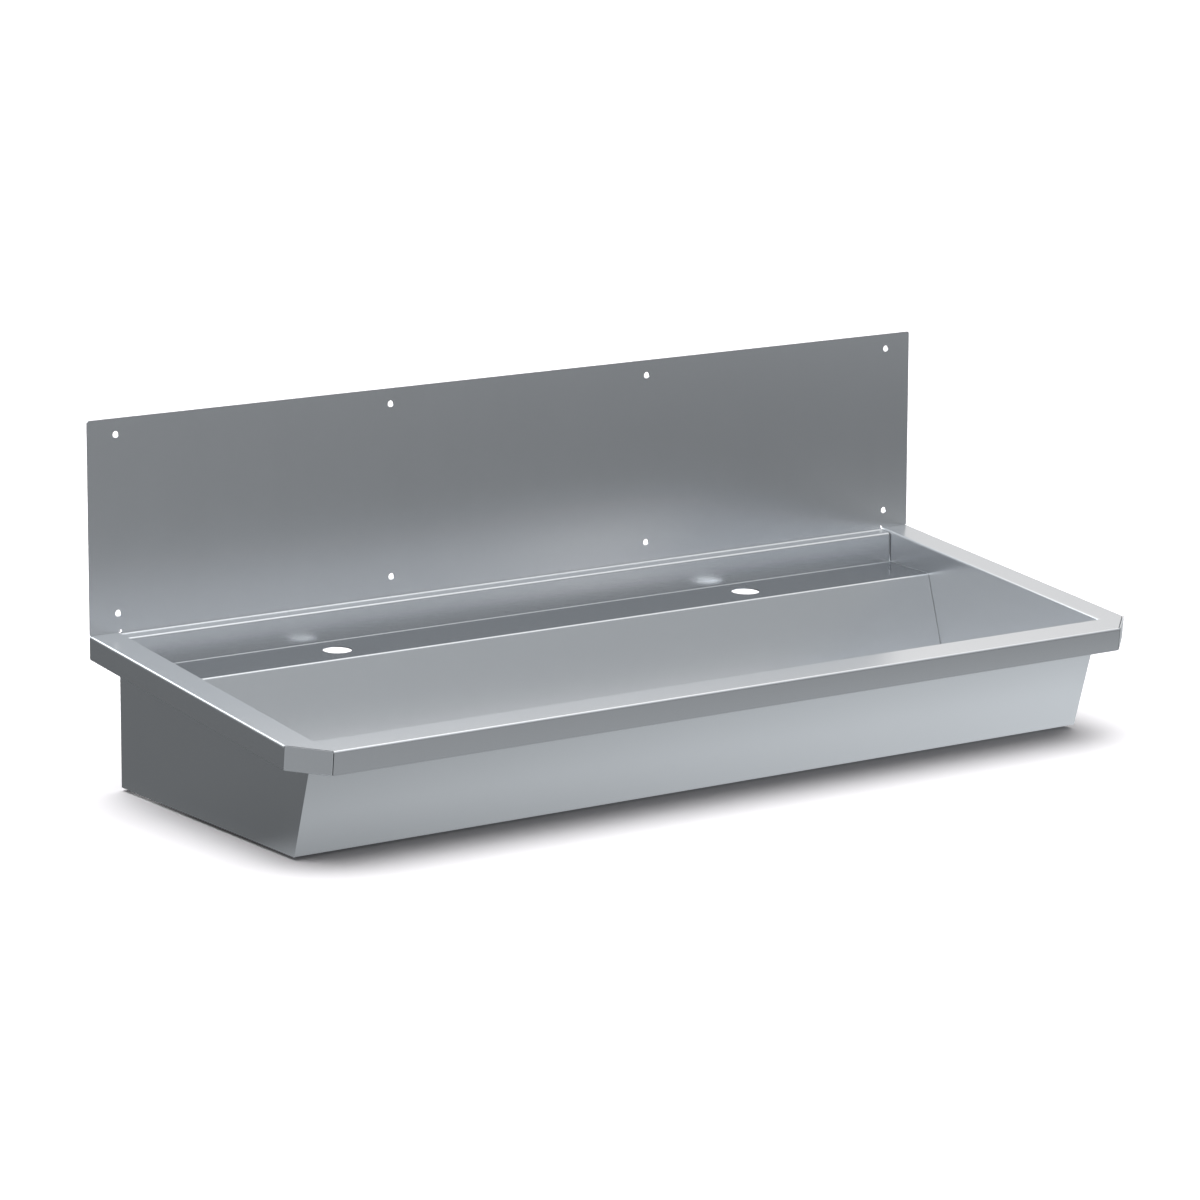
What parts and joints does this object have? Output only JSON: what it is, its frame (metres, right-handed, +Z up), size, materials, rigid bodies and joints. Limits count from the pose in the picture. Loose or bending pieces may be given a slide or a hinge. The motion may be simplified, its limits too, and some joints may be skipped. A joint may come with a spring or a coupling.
{
  "type": "wall-hung trough sink",
  "caption": "Wall-hung trough sink folded from stainless sheet, with a splashback, a tap ledge and a strainer waste.",
  "frame": {"origin": "on the wall plane, in the middle of the splashback's back face, level with the rim at the wall", "axes": "+X along the trough to the right as seen from the room, +Y into the wall, +Z up"},
  "size_m": [1.2, 0.4677, 0.4584],
  "materials": {
    "stainless_sheet": "satin",
    "bright_stainless": "polished",
    "seal_rubber": "matt",
    "white_plastic": "moulded",
    "brass": "machined",
    "pad_bitumen": "matt"
  },
  "bodies": {
    "root": {"splashback_sheet": "stainless_sheet", "tap_ledge": "stainless_sheet", "basin_sheet": "stainless_sheet", "left_end_sheet": "stainless_sheet", "right_end_sheet": "stainless_sheet", "strainer_plate": "bright_stainless", "strainer_screw": "bright_stainless", "strainer_seal": "seal_rubber", "outlet_seal": "seal_rubber", "outlet_body": "white_plastic", "screw_insert": "brass", "left_sound_pad": "pad_bitumen", "right_sound_pad": "pad_bitumen"}
  },
  "joints": []
}
